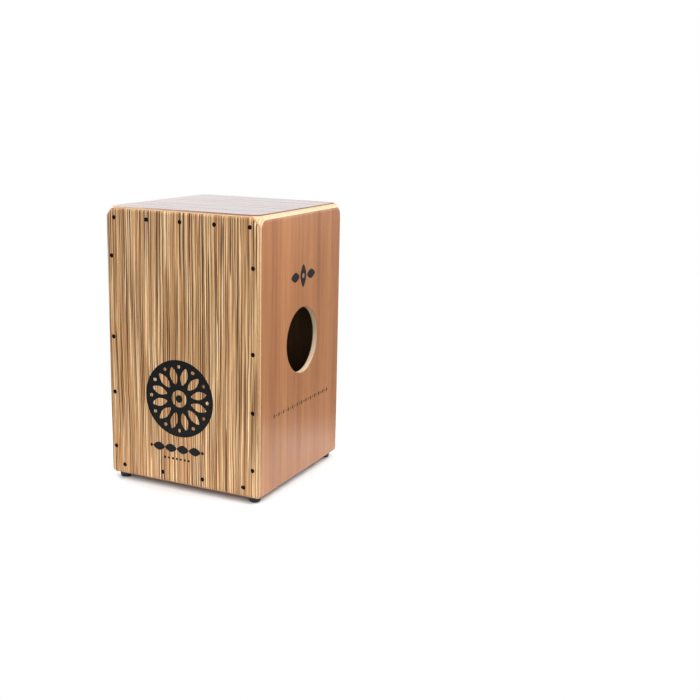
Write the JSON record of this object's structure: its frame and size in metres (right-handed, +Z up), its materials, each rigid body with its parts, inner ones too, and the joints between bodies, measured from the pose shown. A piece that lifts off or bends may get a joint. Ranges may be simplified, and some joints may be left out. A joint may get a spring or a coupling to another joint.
{
  "type": "cajon",
  "caption": "Box drum sat on and played by hand: two thin striking faces on a plywood box, a side sound hole, rubber feet and a swing-away snare.",
  "frame": {"origin": "on the floor, at the middle of the four feet and of the box", "axes": "+Z up, -Y is the front (screwed striking face), +X is the side with the sound hole"},
  "size_m": [0.3, 0.3, 0.48],
  "materials": {
    "mahogany_ply": "gloss",
    "striped_ply": "satin",
    "black_ply": "satin",
    "batten_wood": "matte",
    "black_steel": "satin",
    "rubber": "matte",
    "zinc_steel": "satin",
    "bar_steel": "satin",
    "strand_steel": "satin",
    "brass": "satin",
    "nylon": "matte"
  },
  "bodies": {
    "box": {"top_board": "mahogany_ply", "bottom_board": "mahogany_ply", "left_side_board": "mahogany_ply", "right_side_board": "mahogany_ply", "front_tapa": "striped_ply", "rear_tapa": "black_ply", "front_left_batten": "batten_wood", "front_right_batten": "batten_wood", "rear_left_batten": "batten_wood", "rear_right_batten": "batten_wood", "front_top_rail": "batten_wood", "front_base_rail": "batten_wood", "rear_top_rail": "batten_wood", "rear_base_rail": "batten_wood", "tapa_screws": "black_steel", "front_left_foot": "rubber", "front_right_foot": "rubber", "rear_left_foot": "rubber", "rear_right_foot": "rubber", "foot_washers": "zinc_steel", "foot_screws": "zinc_steel", "bracket_screws": "zinc_steel", "left_snare_bracket": "zinc_steel", "right_snare_bracket": "zinc_steel", "left_pivot_bolt": "zinc_steel", "right_pivot_bolt": "zinc_steel", "left_pivot_washer": "nylon", "right_pivot_washer": "nylon"},
    "snare": {"snare_bar": "bar_steel", "plate_screws": "zinc_steel", "left_snare_strands": "strand_steel", "left_upper_snare_plate": "brass", "left_lower_snare_plate": "brass", "right_snare_strands": "strand_steel", "right_upper_snare_plate": "brass", "right_lower_snare_plate": "brass"},
    "left_wing_nut": {"left_wing_nut": "zinc_steel"},
    "right_wing_nut": {"right_wing_nut": "zinc_steel"}
  },
  "joints": [
    {"name": "snare_swing", "type": "hinge", "parent": "box", "child": "snare", "pos_m": [0, -0.118, 0.424], "axis": [1, 0, 0], "range_deg": [0, 25]},
    {"name": "left_nut_turn", "type": "hinge", "parent": "box", "child": "left_wing_nut", "pos_m": [-0.119, -0.118, 0.424], "axis": [1, 0, 0], "range_deg": [0, 180]},
    {"name": "right_nut_turn", "type": "hinge", "parent": "box", "child": "right_wing_nut", "pos_m": [0.119, -0.118, 0.424], "axis": [-1, 0, 0], "range_deg": [0, 180]}
  ]
}
